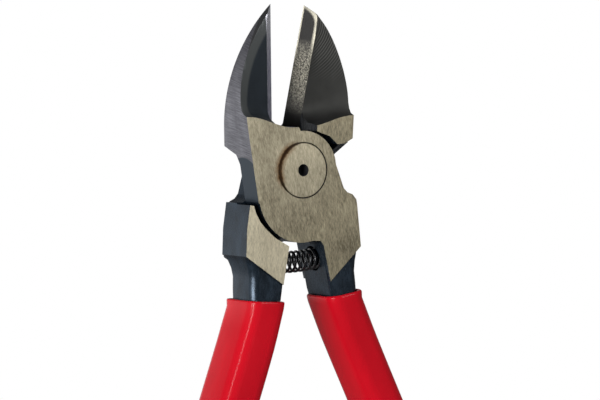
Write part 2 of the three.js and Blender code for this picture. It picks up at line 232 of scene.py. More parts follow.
class Finish(Nodes):
    """The node tree of one material, with the lever or handle axes that its patterns follow."""

    def __init__(self, name: str, turn: float = 0.0, side: int = 1) -> None:
        """Start an empty material.

        Args:
            name: Name of the material.
            turn: Turn about Y, in radians, that brings the piece to its closed place.
            side: 1 if the lever's jaw is on the right, -1 if it is on the left.
        """
        self.material = bpy.data.materials.new(name)
        super().__init__(self.material)
        self.open_place = self.out(self.node("ShaderNodeTexCoord"), "Object")
        closed = {"Rotation": (0.0, turn, 0.0), "Scale": (1 / MM, 1 / MM, 1 / MM)}
        mapping = self.node("ShaderNodeMapping", inputs={"Vector": self.open_place, **closed})
        self.place = self.out(mapping)
        axes = self.node("ShaderNodeSeparateXYZ", inputs={"Vector": self.place})
        self.out_from_pivot = self.out(axes, "X") * float(side)
        self.depth = self.out(axes, "Y") + THICKNESS
        self.up = self.out(axes, "Z")

    def radius(self, centre: tuple[float, float]) -> Signal:
        """Return the distance from a line through the closed lever, at this (out, up)."""
        return (self.out_from_pivot - centre[0]).hypot(self.up - centre[1])

    def noise(
        self, per_mm: Triple, detail: float = 2.0, roughness: float = 0.5, shift: float = 0.0
    ) -> Signal:
        """Return cloudy noise on the closed lever's axes.

        Args:
            per_mm: Features per millimetre along X, Y and Z.
            detail: Octaves of finer noise.
            roughness: Strength of the finer octaves.
            shift: Offset that makes one noise differ from another.

        Returns:
            The noise, about 0.5 on average.
        """
        moves = {"Scale": per_mm, "Location": (shift, shift, shift)}
        moved = self.out(self.node("ShaderNodeMapping", inputs={"Vector": self.place, **moves}))
        return self.clouds(moved, detail, roughness)

    def clouds(self, place: Signal, detail: float, roughness: float) -> Signal:
        """Return noise at a place, with one feature per unit and about 0.5 on average."""
        look = {"Vector": place, "Scale": 1.0, "Detail": detail, "Roughness": roughness}
        return self.out(self.node("ShaderNodeTexNoise", inputs=look))

    def ramp(self, signal: Signal, *stops: tuple[float, float]) -> Signal:
        """Return the signal passed through a grey ramp with these (position, level) stops."""
        node = self.node("ShaderNodeValToRGB", {"stops": stops}, {"Fac": signal})
        return self.out(node, "Color")

    def mix(self, share: Signal, first: "Signal | Colour", second: "Signal | Colour") -> Signal:
        """Mix two colours.

        Args:
            share: Share of the second colour.
            first: The colour at 0.
            second: The colour at 1.

        Returns:
            The mixed colour.
        """
        node = self.node("ShaderNodeMix", {"data_type": "RGBA"}, {0: share})
        for socket, colour in ((node.inputs[6], first), (node.inputs[7], second)):
            if isinstance(colour, Signal):
                self.tree.links.new(colour.socket, socket)
            else:
                socket.default_value = (*colour, 1.0)
        return self.out(node, 2)

    def bump(self, height: Signal, depth_mm: float) -> Signal:
        """Return normals bumped by a height, where 1 stands depth_mm above 0."""
        inputs = {"Height": height, "Strength": 1.0, "Distance": depth_mm * MM}
        return self.out(self.node("ShaderNodeBump", inputs=inputs))

    def shade(
        self,
        colour: Signal,
        metallic: float,
        roughness: "Signal | float",
        normal: Signal | None = None,
        coat: float = 0.0,
        specular: float = 0.5,
    ) -> None:
        """Close the tree with its shader.

        Args:
            colour: Base colour.
            metallic: Share of metal.
            roughness: Roughness of the surface.
            normal: Bumped normals.
            coat: Weight of a clear coat.
            specular: Strength of the reflection of what isn't metal.
        """
        inputs = {
            "Base Color": colour,
            "Metallic": metallic,
            "Roughness": roughness,
            "Coat Weight": coat,
            "Coat Roughness": COAT_ROUGHNESS,
            "Specular IOR Level": specular,
        }
        if normal is not None:
            inputs["Normal"] = normal
        shader = self.node("ShaderNodeBsdfPrincipled", inputs=inputs)
        self.node("ShaderNodeOutputMaterial", inputs={"Surface": self.out(shader)})


def lighter(colour: Colour, times: float) -> Colour:
    """Return a colour with each channel this many times as strong."""
    return tuple(times * channel for channel in colour)


# ---- Finishes ----


class Dressing:
    """One kind of surface. Its fields hold the colours and sizes, in millimetres."""

    def material(self, name: str, turn: float = 0.0, side: int = 1) -> Material:
        """Build the surface's material.

        Args:
            name: Name of the material.
            turn: Turn about Y, in radians, that brings the piece to its closed place.
            side: 1 if the lever's jaw is on the right, -1 if it is on the left.

        Returns:
            The finished material.
        """
        finish = Finish(name, turn, side)
        self._dress(finish)
        return finish.material

    def _dress(self, finish: Finish) -> None:
        """Fill a material's node tree."""
        raise NotImplementedError


@dataclass(frozen=True)
class GroundSteel(Dressing):
    """Bright steel ground flat, with fine brushing along the tool and small dark pits.

    A painted pool of light makes it lightest at one place and darkest some way from it. The seam
    round the rivet is dark, and rust creeps out of it on one side.
    """

    # painted light: a pool of it, lightest at one place, mixes the lit colours into the ground steel
    lightest_at: tuple[float, float] = (-9.0, 7.0)
    fades_over: float = 14.0
    glow: float = 0.30
    pale: Colour = (0.58, 0.515, 0.355)
    dark: Colour = (0.135, 0.117, 0.078)
    pale_lit: Colour = (1.0, 0.92, 0.70)
    dark_lit: Colour = (0.50, 0.44, 0.31)
    pit: Colour = (0.05, 0.045, 0.035)
    stain: Colour = (0.20, 0.095, 0.028)
    seam: Colour = (0.030, 0.015, 0.006)
    seam_reach: float = 0.12  # of the dark on each side of the seam
    rust_towards: tuple[float, float] = (-0.94, 0.34)
    rust_depth: float = 2.0

    def _dress(self, finish: Finish) -> None:
        """Lay on the brushing and the painted pool of light, then the pits, the rust and the seam.

        Args:
            finish: The material to fill.
        """
        fine = finish.noise((8.0, 8.0, 1.1), detail=4.0, roughness=0.7)
        coarse = finish.noise((2.6, 2.6, 0.6), detail=3.0, roughness=0.6, shift=7.0)
        cloud = finish.noise((0.22, 0.22, 0.16), detail=2.0, shift=3.0)
        brushed = fine * 0.7 + coarse * 0.3
        tone = finish.ramp(brushed + cloud * 0.25, (0.50, 0.0), (0.82, 1.0))
        # painted light: lightens both colours near one place, fading with distance
        from_lightest = self._distance(finish, *self.lightest_at)
        lit = from_lightest.under(self.fades_over, self.fades_over) * self.glow
        dark = finish.mix(lit, self.dark, self.dark_lit)
        pale = finish.mix(lit, self.pale, self.pale_lit)
        pits = finish.noise((3.0, 3.0, 2.0), detail=4.0, roughness=0.75, shift=21.0)
        pitted = pits.over(0.66, 0.06)
        metal = finish.mix(pitted * 0.6, finish.mix(tone, dark, pale), self.pit)
        from_seam = (self._distance(finish) - RIVET_RADIUS).size()
        rusty = self._rusty_side(finish)
        wobble = finish.noise((1.1, 1.1, 1.1), detail=4.0, roughness=0.65, shift=11.0)
        spread = (wobble.over(0.5, 0.5) * 0.5 + 0.4) * rusty
        rust = from_seam.under(spread, 1.0) * rusty * finish.depth.under(self.rust_depth, 0.5)
        creep = finish.noise((1.6, 1.6, 1.6), detail=3.0, shift=15.0) * 0.5
        seam = from_seam.under(rusty * creep + self.seam_reach, 0.2)
        finish.shade(
            finish.mix(seam * 0.9, finish.mix(rust, metal, self.stain), self.seam),
            metallic=0.85,
            roughness=finish.ramp(fine, (0.3, 0.36), (0.7, 0.5)),
            normal=finish.bump(brushed - pitted * 1.5, 0.016),
        )

    @staticmethod
    def _distance(finish: Finish, across: float = 0.0, up: float = 0.0) -> Signal:
        """Return the distance from a line through the open tool, in millimetres.

        Args:
            finish: The material being built.
            across: Place of the line along X.
            up: Place of the line along Z.

        Returns:
            The distance in the plane of the tool.
        """
        axes = finish.node("ShaderNodeSeparateXYZ", inputs={"Vector": finish.open_place})
        x = finish.out(axes, "X") * (1 / MM) - across
        return x.hypot(finish.out(axes, "Z") * (1 / MM) - up)

    def _rusty_side(self, finish: Finish) -> Signal:
        """Return a mask of the side of the joint that the rust is on."""
        across, up = self.rust_towards
        beside = self._distance(finish, -across, -up) - self._distance(finish, across, up)
        return (beside * 0.5).over(0.60, 0.50)


@dataclass(frozen=True)
class ForgedSteel(Dressing):
    """Slate-coloured forged steel with a satin oil finish, and painted shade between jaw and joint.
    """

    pale: Colour = (0.033, 0.052, 0.076)
    dark: Colour = (0.012, 0.019, 0.028)
    # painted shade: near black laid on the faces between jaw and joint
    painted_shade: Colour = (0.006, 0.007, 0.008)
    painted_shade_above: float = 4.0
    painted_shade_within: float = 6.0

    def _dress(self, finish: Finish) -> None:
        """Lay on the cloudy steel, then the painted shade.

        Args:
            finish: The material to fill.
        """
        cloud = finish.noise((0.35, 0.35, 0.2), detail=3.0)
        grain = finish.noise((6.0, 6.0, 6.0), detail=3.0, roughness=0.6, shift=5.0)
        scuff = finish.noise((1.2, 1.2, 0.5), detail=5.0, roughness=0.7, shift=9.0)
        tone = finish.ramp(cloud * 0.7 + scuff * 0.3, (0.35, 0.0), (0.68, 1.0))
        # painted shade: darkens the recess between jaw and joint
        corner = finish.out_from_pivot.under(self.painted_shade_within, 2.0)
        in_painted_shade = finish.up.over(self.painted_shade_above, 2.0) * corner
        finish.shade(
            finish.mix(in_painted_shade * 0.85, finish.mix(tone, self.dark, self.pale), self.painted_shade),
            metallic=0.6,
            roughness=finish.ramp(scuff, (0.3, 0.20), (0.7, 0.34)),
            normal=finish.bump(grain * 0.6 + scuff * 0.4, 0.02),
            specular=0.45,
        )


@dataclass(frozen=True)
class MilledFlank(Dressing):
    """Outer wall of a jaw: milled grey steel with fine slanted lines, forged below an arc.

    A dark rim on its front side widens towards the jaw's tip.
    """

    pale: Colour = (0.28, 0.28, 0.31)
    dark: Colour = (0.075, 0.075, 0.090)
    forged: Colour = (0.038, 0.052, 0.068)
    rim: Colour = (0.045, 0.046, 0.044)
    rim_from: float = 20.0
    rim_depth: float = 1.5
    rim_lean: float = 0.19
    line_lean: float = 0.2
    arc_depth: float = 3.2
    arc_height: float = -1.4
    arc_radius: float = 5.5
    forged_below: float = -1.0

    def _dress(self, finish: Finish) -> None:
        """Lay on the milled lines, then the rim and the forged foot.

        Args:
            finish: The material to fill.
        """
        lines = self._lines(finish)
        cloud = finish.noise((0.5, 0.5, 0.16), detail=3.0, shift=2.0)
        tone = finish.ramp(lines * 0.75 + cloud * 0.25, (0.34, 0.0), (0.66, 1.0))
        # the flank's tone darkens towards the tip
        fade = finish.up.over(self.rim_from, 22.0) * 0.5
        in_rim = finish.depth - (finish.up - self.rim_from) * self.rim_lean
        rim = in_rim.under(self.rim_depth, 0.3) * finish.up.over(self.rim_from + 0.5, 2.0)
        tip_graded = finish.mix(fade, finish.mix(tone, self.dark, self.pale), self.dark)
        milled = finish.mix(rim * 0.8, tip_graded, self.rim)
        from_arc = (finish.depth - self.arc_depth).hypot(finish.up - self.arc_height)
        cut = from_arc.over(self.arc_radius, 0.25) * finish.up.over(self.forged_below, 0.2)
        finish.shade(
            finish.mix(cut, self.forged, milled),
            metallic=0.75,
            roughness=finish.ramp(cut, (0.0, 0.36), (1.0, 0.4)),
            normal=finish.bump(lines * cut, 0.022),
        )

    def _lines(self, finish: Finish) -> Signal:
        """Return fine parallel machining lines that lean.

        Args:
            finish: The material being built.

        Returns:
            The lines, about 0.5 on average.
        """
        slant = finish.up - finish.depth * self.line_lean
        axes = {"X": finish.depth * 0.25, "Y": 0.0, "Z": slant * 6.0}
        joined = finish.out(finish.node("ShaderNodeCombineXYZ", inputs=axes))
        return finish.clouds(joined, detail=3.0, roughness=0.6)


@dataclass(frozen=True)
class LeftHollow(Dressing):
    """Hollow front of the left jaw: near black, with a paler band along the wall."""

    floor: Colour = (0.028, 0.036, 0.045)
    band: Colour = (0.125, 0.135, 0.135)
    speck: Colour = (0.25, 0.27, 0.3)
    arc_centre: tuple[float, float] = (-15.9, 9.55)
    band_radius: float = 24.1

    def _dress(self, finish: Finish) -> None:
        """Lay on the cloudy floor and the band, then the specks.

        Args:
            finish: The material to fill.
        """
        cloud = finish.noise((0.4, 0.4, 0.25), detail=3.0)
        band = finish.radius(self.arc_centre).over(self.band_radius, 0.5)
        specks = finish.noise((3.0, 3.0, 3.0), detail=4.0, roughness=0.75, shift=4.0)
        floor = finish.mix(cloud, self.floor, lighter(self.floor, 1.6))
        clean = finish.mix(band, floor, self.band)
        finish.shade(
            finish.mix(specks.over(0.7, 0.05) * 0.25, clean, self.speck),
            metallic=0.5,
            roughness=0.45,
            normal=finish.bump(finish.noise((5.0, 5.0, 5.0), detail=3.0), 0.012),
        )


@dataclass(frozen=True)
class RightHollow(Dressing):
    """Hollow front of the right jaw: charcoal, with curved milling cusps towards the tip."""

    pale: Colour = (0.11, 0.11, 0.103)
    dark: Colour = (0.038, 0.038, 0.036)
    # painted shade: the hollow darkens to this at its foot
    foot: Colour = (0.026, 0.028, 0.030)
    # painted highlight along the cusp crests
    crest_highlight: Colour = (0.30, 0.30, 0.28)
    cusp_centre: tuple[float, float] = (-2.9, 26.0)
    cusp_pitch: float = 0.47
    cusps_above: float = 19.5
    cusps_beyond: float = 3.0
    foot_shade_height: float = 9.6

    def _dress(self, finish: Finish) -> None:
        """Lay on the cusps and the painted highlights on their crests, then the painted shade at the
        foot.

        Args:
            finish: The material to fill.
        """
        wander = finish.noise((0.35, 0.35, 0.35), detail=1.0, shift=6.0) * 0.3
        angle = (finish.radius(self.cusp_centre) + wander) * (2 * math.pi / self.cusp_pitch)
        cusps = angle.sine() * 0.5 + 0.5
        beyond = finish.out_from_pivot.over(self.cusps_beyond, 1.5)
        near = finish.up.over(self.cusps_above, 7.0) * beyond
        cloud = finish.noise((0.3, 0.3, 0.2), detail=3.0)
        tone = cloud * 0.7 + cusps * near * 0.45
        # painted highlights along the cusp crests
        crest_highlights = cusps.over(0.72, 0.5) * near * 0.5
        milled = finish.mix(crest_highlights, finish.mix(tone, self.dark, self.pale), self.crest_highlight)
        # painted shade in the hollow's concave foot
        foot_shade = finish.up.under(self.foot_shade_height, 2.6) * 0.6
        finish.shade(
            finish.mix(foot_shade, milled, self.foot),
            metallic=0.6,
            roughness=0.42,
            normal=finish.bump(cusps * near, 0.045),
        )


@dataclass(frozen=True)
class CutEdge(Dressing):
    """Ground bevel of the right jaw: grainy bright steel, with a dull patch inside the tip.

    The patch ends at a bright line that bends round towards the tip. Lower down, only the side
    away from the cutting edge has bright grain, which is real grinding grain with painted glints.
    """

    bright: Colour = (0.53, 0.50, 0.405)
    dull: Colour = (0.012, 0.0115, 0.011)
    bend_centre: tuple[float, float] = (-1.33, 25.7)
    bend_radius: float = 3.75
    line_reach: float = 0.24  # of the line on each side of its middle
    line_from: float = 21.5
    line_fades_at: float = 28.0
    patch_from: float = 20.8
    # painted glints on the real grain: they show above a height, on the side away from the cutting
    # edge
    grain_glint_from: float = 13.0
    grain_glint_beyond: float = 1.25
    grain_glint_level: float = 13.5
    grain_glint_lean: float = 0.18
    edge_within: float = 0.38
    edge_from: float = 20.0

    def _dress(self, finish: Finish) -> None:
        """Lay on the grain with its painted glints, the bright line and the bright cutting edge.

        Args:
            finish: The material to fill.
        """
        out, up = finish.out_from_pivot, finish.up
        grain = finish.noise((3.6, 3.6, 3.0), detail=5.0, roughness=0.85)
        speckle = finish.ramp(grain, (0.42, 0.0), (0.68, 1.0))
        patch = up.over(self.patch_from, 5.0)
        # real grinding grain with painted glints, only above a height and away from the cutting edge
        tip_graded = up.over(self.grain_glint_from, 7.0)
        leaning = out + (up - self.grain_glint_level) * self.grain_glint_lean
        across = leaning.over(self.grain_glint_beyond, 1.8) * 0.78 + 0.22
        grainy = speckle * across * tip_graded * (1 - patch)
        above = (up - self.bend_centre[1]).larger(0.0)
        bend = (out - self.bend_centre[0]).hypot(above)
        line = (bend - self.bend_radius).size().under(self.line_reach, 0.32)
        line = line * up.over(self.line_from, 4.0)
        line = line * (up.under(self.line_fades_at, 2.0) * 0.7 + 0.3)
        edge = out.under(self.edge_within, 0.14) * up.over(self.edge_from, 4.0) * 0.8
        share = grainy.larger(line * (speckle * 0.3 + 0.7)).larger(edge)
        outside = bend.over(self.bend_radius + 0.3, 0.2) * up.over(25.0, 1.0)
        finish.shade(
            finish.mix(share * (1 - outside), self.dull, self.bright),
            metallic=0.8,
            roughness=finish.ramp(share, (0.0, 0.38), (1.0, 0.5)),
            normal=finish.bump(speckle * tip_graded * (1 - patch), 0.03),
        )


@dataclass(frozen=True)
class LilacEdge(Dressing):
    """Ground bevel of the left jaw: a narrow strip of cold, slightly nicked bright steel."""

    bright: Colour = (0.92, 0.92, 1.0)
    dull: Colour = (0.36, 0.36, 0.52)
    tip_from: float = 24.0

    def _dress(self, finish: Finish) -> None:
        """Lay on the nicks, which are more towards the tip.

        Args:
            finish: The material to fill.
        """
        nicks = finish.noise((1.5, 1.5, 0.7), detail=5.0, roughness=0.75)
        tip = finish.up.over(self.tip_from, 8.0) * 0.3
        share = finish.ramp(nicks + tip, (0.38, 0.0), (0.75, 1.0))
        finish.shade(
            finish.mix(share, self.dull, self.bright),
            metallic=0.8,
            roughness=0.42,
            normal=finish.bump(nicks, 0.03),
        )


@dataclass(frozen=True)
class DarkHole(Dressing):
    """Near-black inside of the rivet's centre mark."""

    colour: Colour = (0.006, 0.006, 0.007)

    def _dress(self, finish: Finish) -> None:
        """Lay on near black of two strengths.

        Args:
            finish: The material to fill.
        """
        mottle = finish.noise((2.0, 2.0, 2.0), detail=3.0)
        finish.shade(
            finish.mix(mottle, self.colour, lighter(self.colour, 2.5)),
            metallic=0.0,
            roughness=0.7,
            specular=0.2,
        )


@dataclass(frozen=True)
class SpringWire(Dressing):
    """Glossy black spring wire, scuffed paler in places."""

    colour: Colour = (0.012, 0.013, 0.016)
    scuffed: Colour = (0.10, 0.11, 0.13)

    def _dress(self, finish: Finish) -> None:
        """Lay on the scuffs, under a clear coat.

        Args:
            finish: The material to fill.
        """
        scuff = finish.noise((2.0, 2.0, 2.0), detail=4.0, roughness=0.7)
        finish.shade(
            finish.mix(scuff.over(0.62, 0.15) * 0.3, self.colour, self.scuffed),
            metallic=0.3,
            roughness=finish.ramp(scuff, (0.3, 0.14), (0.7, 0.3)),
            coat=0.6,
        )


@dataclass(frozen=True)
class DippedVinyl(Dressing):
    """Glossy red vinyl with the faint waviness of a dipped skin."""

    colour: Colour = (0.70, 0.006, 0.018)
    deep: Colour = (0.54, 0.005, 0.014)

    def _dress(self, finish: Finish) -> None:
        """Lay on the broad waves and the fine unevenness of the skin.

        Args:
            finish: The material to fill.
        """
        wave = finish.noise((0.16, 0.16, 0.07), detail=2.0)
        skin = finish.noise((1.1, 1.1, 0.8), detail=3.0, shift=3.0)
        finish.shade(
            finish.mix(wave.over(0.5, 0.6), self.deep, self.colour),
            metallic=0.0,
            roughness=finish.ramp(skin, (0.3, 0.15), (0.7, 0.23)),
            normal=finish.bump(wave * 0.8 + skin * 0.2, 0.08),
            specular=0.2,
        )


# ---- Mesh helpers ----


def as_piece(name: str, mesh: BMesh, materials: list[Material]) -> Object:
    """Make an object at the origin from a bmesh.

    Args:
        name: Name of the object.
        mesh: The mesh, in metres, in the frame. It is freed.
        materials: The object's material slots, in order.

    Returns:
        The object, linked to the scene.
    """
    data = bpy.data.meshes.new(name)
    mesh.to_mesh(data)
    mesh.free()
    for material in materials:
        data.materials.append(material)
    piece = bpy.data.objects.new(name, data)
    bpy.context.scene.collection.objects.link(piece)
    LOG.info("%s: %d faces", name, len(data.polygons))
    return piece


@dataclass(frozen=True)
class Section:
    """A rounded rectangle across X and Y, in millimetres."""

    width: float
    depth: float
    corner: float
    corner_steps: int = 6

    def start(self, mesh: BMesh) -> list:
        """Add a ring with one vertex for each point of the section, and return its vertices."""
        count = 4 * (self.corner_steps + 1)
        return bmesh.ops.create_circle(mesh, cap_ends=False, segments=count, radius=1.0)["verts"]

    def points(self, grow: float) -> list[Vector]:
        """Return the section's points, in order.

        Args:
            grow: Distance by which the whole outline moves outwards.

        Returns:
            Points about the origin.
        """
        radius = self.corner + grow
        across = self.width / 2 - self.corner
        along = self.depth / 2 - self.corner
        points = []
        for quarter, (right, back) in enumerate(((1, 1), (-1, 1), (-1, -1), (1, -1))):
            for step in range(self.corner_steps + 1):
                angle = math.radians(90 * (quarter + step / self.corner_steps))
                x = right * across + radius * math.cos(angle)
                y = back * along + radius * math.sin(angle)
                points.append(Vector((x, y, 0.0)))
        return points


def edges_between(vertices: list) -> list:
    """Return the edges whose two ends are both among these vertices."""
    chosen = set(vertices)
    return list({e for v in vertices for e in v.link_edges if e.other_vert(v) in chosen})


def extrude_ring(mesh: BMesh, ring: list) -> list:
    """Extrude a closed ring in place.

    Args:
        mesh: The mesh that holds the ring.
        ring: The ring's vertices, in order.

    Returns:
        The new ring's vertices, in the same order.
    """
    made = bmesh.ops.extrude_edge_only(mesh, edges=edges_between(ring))
    new = {item for item in made["geom"] if isinstance(item, BMVert)}
    return [next(e.other_vert(v) for e in v.link_edges if e.other_vert(v) in new) for v in ring]


def put_ring(ring: list, points: list[Vector], place: Matrix) -> None:
    """Move a ring's vertices to a section's points, in a place of the frame."""
    for vertex, point in zip(ring, points):
        vertex.co = place @ point


def smooth_faces(mesh: BMesh) -> None:
    """Shade every face of a mesh smooth."""
    for face in mesh.faces:
        face.smooth = True


def keep_flats(piece: Object, keep_sharp: bool = False) -> None:
    """Make a smooth piece's large faces look flat up to their rounded edges.

    Args:
        piece: The piece.
        keep_sharp: Whether edges that are marked sharp stay so.
    """
    weighted = piece.modifiers.new("flats", "WEIGHTED_NORMAL")
    weighted.weight = 80
    weighted.keep_sharp = keep_sharp


def standing(point: Vector, *axes: Vector) -> Matrix:
    """Return the place at a point whose three axes are these."""
    return Matrix.Translation(point) @ Matrix(axes).transposed().to_4x4()


# ---- Levers ----


class Region(Enum):
    """Parts of a lever's surface that have finishes of their own."""

    FORGED = 0
    GROUND = 1
    FLANK = 2
    HOLLOW = 3
    EDGE = 4


@dataclass
class Lever:
    """One steel lever: jaw, half of the lap joint, and the bar inside its sleeve."""

    node: str
    body: str
    side: int
    finishes: dict[Region, Material]
    edge_radius: float = 0.14
    shortest: float = 0.05
    level: float = math.radians(0.6)  # faces that differ by less are one
    sharp: float = math.radians(28)  # edges over this angle are rounded
    crisp: float = math.radians(50)  # and what is left over this angle is shaded sharp
    ridge: float = 2.5
    jaw_foot: float = 7.0
    flank_foot: float = -4.0
    ground_skin: float = 0.04
    squarely: float = 0.999  # share of a ground face's normal along Y
    lean: float = 0.2  # forward share of the normal that tells a jaw's front from its walls
    sideways: float = 0.5
    outwards: float = 0.35  # share of a flank's normal that points away from the pivot

    def build(self) -> None:
        """Make the lever's detailed piece, riding on its body in place of the CAD node."""
        mesh = bmesh.new()
        mesh.from_mesh(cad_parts[self.node].data)
        bmesh.ops.remove_doubles(mesh, verts=mesh.verts, dist=MERGE)
        self._mark_regions(mesh)
        bmesh.ops.dissolve_limit(
            mesh, angle_limit=self.level, use_dissolve_boundaries=False,
            verts=mesh.verts, edges=mesh.edges, delimit={"MATERIAL"},
        )
        bmesh.ops.dissolve_degenerate(mesh, dist=self.shortest * MM, edges=mesh.edges)
        self._round_edges(mesh)
        smooth_faces(mesh)
        for edge in mesh.edges:
            edge.smooth = edge.is_manifold and edge.calc_face_angle(0.0) < self.crisp
        materials = [self.finishes[region] for region in Region]
        piece = as_piece(f"{self.node}_steel", mesh, materials)
        keep_flats(piece, keep_sharp=True)
        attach(piece, self.body)
        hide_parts(self.node)

    def _mark_regions(self, mesh: BMesh) -> None:
        """Give each face the finish of its region.

        Args:
            mesh: The lever's mesh, as it stands in the open tool.
        """
        close = Matrix.Rotation(-self.side * HALF_OPENING, 3, "Y")
        for face in mesh.faces:
            place = close @ face.calc_center_median() / MM
            normal = close @ face.normal
            face.material_index = self._region(place, normal).value

    def _region(self, place: Vector, normal: Vector) -> Region:
        """Tell which region a face lies in.

        Args:
            place: The face's middle in the closed lever, in millimetres.
            normal: The face's normal there.

        Returns:
            The region.
        """
        out = self.side * place.x
        depth = place.y + THICKNESS
        outward = self.side * normal.x
        on_skin = not self.ground_skin < depth < THICKNESS - self.ground_skin
        if on_skin and abs(normal.y) > self.squarely:
            return Region.GROUND
        limit = self.lean if abs(outward) < self.sideways else -self.lean
        if place.z > self.jaw_foot and normal.y < limit:
            return Region.EDGE if out < self.ridge else Region.HOLLOW
        beside = out > 0 and place.z > self.flank_foot
        if beside and outward > self.outwards and abs(normal.y) < self.sideways:
            return Region.FLANK
        return Region.FORGED

    def _round_edges(self, mesh: BMesh) -> None:
        """Round the sharp edges slightly.

        Args:
            mesh: The lever's mesh.
        """
        sharp = [
            edge for edge in mesh.edges
            if edge.is_manifold and edge.is_convex and edge.calc_face_angle(0.0) > self.sharp
        ]
        bmesh.ops.bevel(
            mesh, geom=sharp, offset=self.edge_radius * MM, offset_type="OFFSET", segments=2,
            profile=0.5, affect="EDGES", clamp_overlap=True, material=-1,
        )


# ---- Rivet ----


@dataclass
class Rivet:
    """The joint's rivet, its heads ground flush, with a centre mark in the front head."""

    node: str
    body: str
    finishes: list[Material]
    head_radius: float = 4.86
    head_depth: float = 1.3
    shank_radius: float = 3.4
    mark_radius: float = 1.02
    mark_depth: float = 1.4
    chamfer: float = 0.07
    steps_around: int = 96

    def build(self) -> None:
        """Spin the rivet's profile about the joint's axis, riding on its body."""
        mesh = bmesh.new()
        profile = self._profile()
        line = [mesh.verts.new((radius * MM, -forward * MM, 0.0)) for radius, forward in profile]
        edges = [mesh.edges.new(pair) for pair in zip(line, line[1:])]
        bmesh.ops.spin(
            mesh, geom=[*line, *edges], cent=(0, 0, 0), axis=(0, 1, 0), angle=2 * math.pi,
            steps=self.steps_around, use_merge=True, use_duplicate=False,
        )
        bmesh.ops.remove_doubles(mesh, verts=mesh.verts, dist=MERGE)
        bmesh.ops.recalc_face_normals(mesh, faces=mesh.faces)
        smooth_faces(mesh)
        for face in mesh.faces:
            middle = face.calc_center_median() / MM
            inside = math.hypot(middle.x, middle.z) < self.mark_radius + self.chamfer
            face.material_index = int(inside and middle.y < -THICKNESS / 2)
        piece = as_piece("rivet_heads", mesh, self.finishes)
        keep_flats(piece)
        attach(piece, self.body)
        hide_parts(self.node)

    def _profile(self) -> list[tuple[float, float]]:
        """Draw half of the section through the rivet's axis, in millimetres.

        Returns:
            Points from back to front, as radii and distances in front of the rear face.
        """
        back = [
            (0.0, 0.0),
            (self.head_radius - self.chamfer, 0.0),
            (self.head_radius, self.chamfer),
            (self.head_radius, self.head_depth),
            (self.shank_radius, self.head_depth),
        ]
        front = [(radius, THICKNESS - forward) for radius, forward in reversed(back[1:])]
        floor = THICKNESS - self.mark_depth
        mark = [
            (self.mark_radius + self.chamfer, THICKNESS),
            (self.mark_radius, THICKNESS - self.chamfer),
            (self.mark_radius, floor),
            (0.0, floor - self.mark_radius / 2),
        ]
        return back + front + mark


# ---- Return spring ----


@dataclass
class ReturnSpring:
    """The coil spring between the levers, below the joint."""

    node: str
    ends: tuple[str, str]
    finish: Material
    radius: float = 1.75
    wire_radius: float = 0.25
    wire_sides: int = 10
    turns: int = 11
    height: float = -16.5
    sag: float = 0.0129  # rise of its middle line, per square millimetre from the middle
    half_length: float = 5.85
    steps_per_turn: int = 28

    def build(self) -> None:
        """Sweep the wire along its coils."""
        steps = self.turns * self.steps_per_turn
        mesh = bmesh.new()
        ring = bmesh.ops.create_circle(
            mesh, cap_ends=True, segments=self.wire_sides, radius=self.wire_radius
        )["verts"]
        before = self._place(0)
        bmesh.ops.transform(mesh, matrix=before, verts=ring)
        for step in range(1, steps + 1):
            after = self._place(step / steps)
            ring = extrude_ring(mesh, ring)
            bmesh.ops.transform(mesh, matrix=after @ before.inverted(), verts=ring)
            before = after
        bmesh.ops.contextual_create(mesh, geom=edges_between(ring))
        bmesh.ops.scale(mesh, vec=(MM, MM, MM), verts=mesh.verts)
        bmesh.ops.recalc_face_normals(mesh, faces=mesh.faces)
        smooth_faces(mesh)
        piece = as_piece("coil_spring", mesh, [self.finish])
        low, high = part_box(self.node)
        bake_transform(piece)
        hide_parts(self.node)

    def _point(self, share: float) -> Vector:
        """Find the middle of the wire.

        Args:
            share: Share of the wire's length.

        Returns:
            The point, in millimetres.
        """
        x = self.half_length * (2 * share - 1)
        angle = 2 * math.pi * self.turns * share
        out = self.radius * math.cos(angle)
        lean = 2 * self.sag * x
        return Vector((
            x - lean * out,
            -THICKNESS / 2 + self.radius * math.sin(angle),
            self.height + self.sag * x * x + out,
        ))

    def _place(self, share: float) -> Matrix:
        """Find where the wire's section stands.

        Args:
            share: Share of the wire's length.

        Returns:
            The section's place, with its own Z along the wire.
        """
        small = 1e-4
        along = (self._point(share + small) - self._point(share - small)).normalized()
        side = Vector((1, 0, 0)).cross(along).normalized()
        return standing(self._point(share), side, along.cross(side), along)


# ---- Sleeves ----


